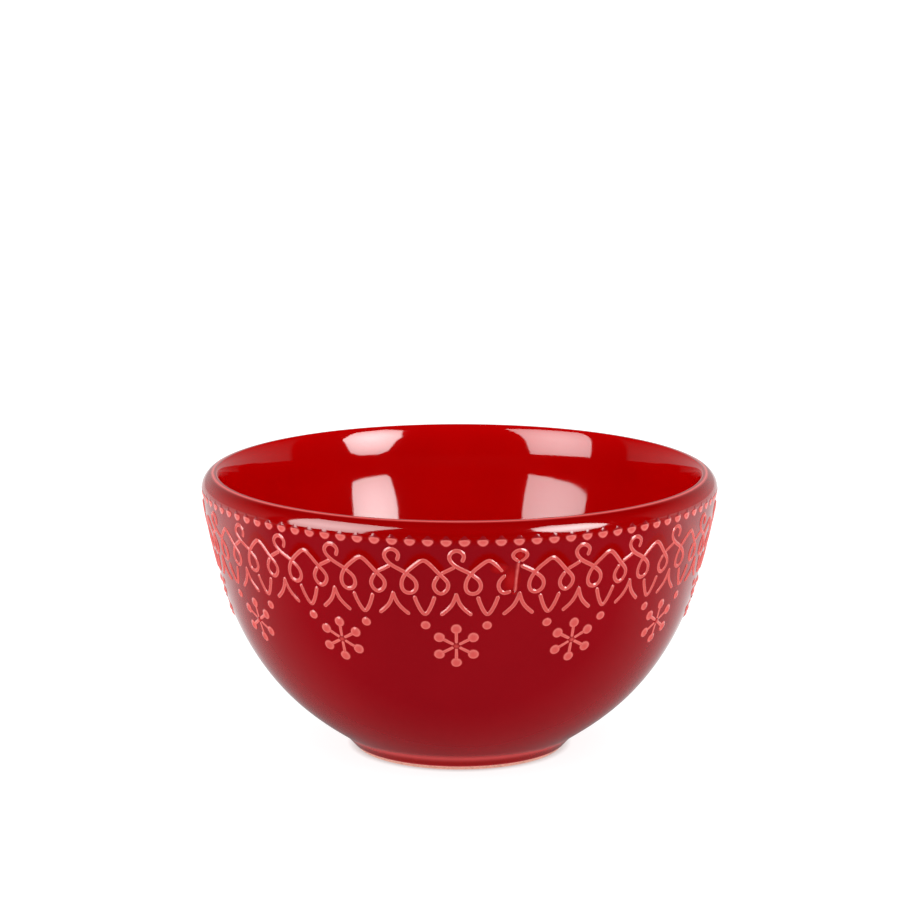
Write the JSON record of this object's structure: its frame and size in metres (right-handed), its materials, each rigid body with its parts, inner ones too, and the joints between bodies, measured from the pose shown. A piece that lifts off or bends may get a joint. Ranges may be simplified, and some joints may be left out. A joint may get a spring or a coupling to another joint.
{
  "type": "footed bowl",
  "caption": "Round red-glazed ceramic bowl on a low foot ring, with a rolled lip, a row of beads and a moulded lace band with snowflakes.",
  "frame": {"origin": "centre of the flat face that the foot ring rests on", "axes": "+Z is the bowl's axis of revolution, upward from the foot to the lip; -Y is the side that the picture shows in front"},
  "size_m": [0.15, 0.15, 0.0815],
  "materials": {
    "fired_clay": "matt",
    "red_glaze": "gloss",
    "relief_glaze": "gloss"
  },
  "bodies": {
    "root": {"clay_wall": "fired_clay", "foot_ring": "fired_clay", "inside_glaze": "red_glaze", "outside_glaze": "red_glaze", "base_glaze": "red_glaze", "rim_beads": "relief_glaze", "lace_arches": "relief_glaze", "lace_curls": "relief_glaze", "lace_leaves": "relief_glaze", "chevron_vees": "relief_glaze", "chevron_peaks": "relief_glaze", "pearl_dots": "relief_glaze", "snowflakes": "relief_glaze", "seam_ridge": "relief_glaze"}
  },
  "joints": []
}
